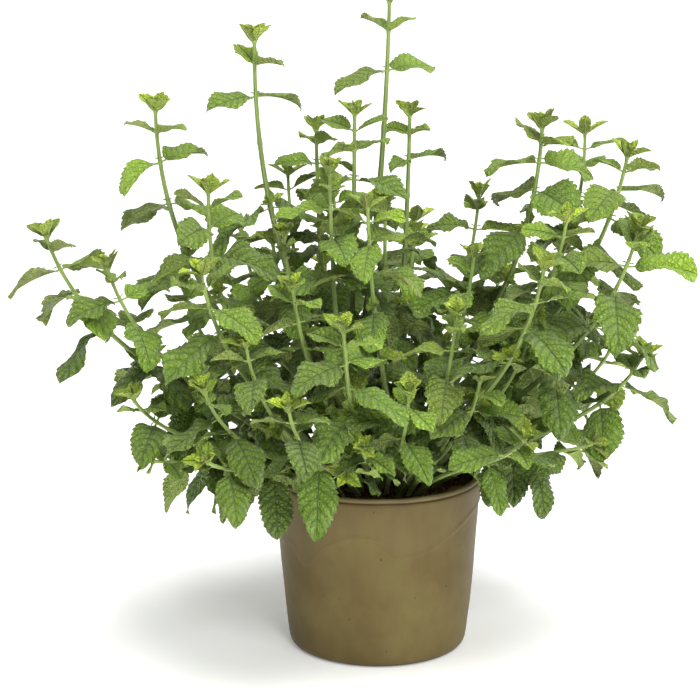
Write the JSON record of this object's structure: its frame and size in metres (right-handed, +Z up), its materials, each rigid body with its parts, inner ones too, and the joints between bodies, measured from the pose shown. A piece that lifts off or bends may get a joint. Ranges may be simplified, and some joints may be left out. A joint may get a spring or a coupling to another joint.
{
  "type": "potted mint plant",
  "caption": "Bushy potted mint: square stems with toothed, puckered leaf pairs rising and leaning out of dark soil in a round, tapered, olive-brown glazed pot.",
  "frame": {"origin": "middle of the pot's flat underside, on the surface it stands on", "axes": "+Z up along the pot's axis; +X to the right and +Y away, seen from the side where the soil shows"},
  "size_m": [0.4441, 0.3507, 0.4483],
  "materials": {
    "glazed_pot": "satin",
    "potting_soil": "matte",
    "mint_leaf": "matte",
    "mint_young_leaf": "matte",
    "mint_stem": "satin",
    "withered_leaf": "matte"
  },
  "bodies": {
    "root": {"pot": "glazed_pot", "potting_soil": "potting_soil", "shoot_01": "mint_leaf", "shoot_02": "mint_leaf", "shoot_03": "mint_leaf", "shoot_04": "mint_leaf", "shoot_05": "mint_leaf", "shoot_06": "mint_leaf", "shoot_07": "mint_leaf", "shoot_08": "mint_leaf", "shoot_09": "mint_leaf", "shoot_10": "mint_leaf", "shoot_11": "mint_leaf", "shoot_12": "mint_leaf", "shoot_13": "mint_leaf", "shoot_14": "mint_leaf", "shoot_15": "mint_leaf", "shoot_16": "mint_leaf", "shoot_17": "mint_leaf", "shoot_18": "mint_leaf", "shoot_19": "mint_leaf", "shoot_20": "mint_leaf", "shoot_21": "mint_leaf", "shoot_22": "mint_leaf", "shoot_23": "mint_leaf", "shoot_24": "mint_leaf", "shoot_25": "mint_leaf", "shoot_26": "mint_leaf", "shoot_27": "mint_leaf", "shoot_28": "mint_leaf", "shoot_29": "mint_leaf", "shoot_30": "mint_leaf", "shoot_31": "mint_leaf", "shoot_32": "mint_leaf", "shoot_33": "mint_leaf", "shoot_34": "mint_leaf", "shoot_35": "mint_leaf", "shoot_36": "mint_leaf", "shoot_37": "mint_leaf", "shoot_38": "mint_leaf", "shoot_39": "mint_leaf", "shoot_40": "mint_leaf", "shoot_41": "mint_leaf", "shoot_42": "mint_leaf", "shoot_43": "mint_leaf", "shoot_44": "mint_leaf", "shoot_45": "mint_leaf", "shoot_46": "mint_leaf", "shoot_47": "mint_leaf", "shoot_48": "mint_leaf", "shoot_49": "mint_leaf", "shoot_50": "mint_leaf", "shoot_51": "mint_leaf", "shoot_52": "mint_leaf", "shoot_53": "mint_leaf", "shoot_54": "mint_leaf", "shoot_55": "mint_leaf", "shoot_56": "mint_leaf", "shoot_57": "mint_leaf", "shoot_58": "mint_leaf"}
  },
  "joints": []
}
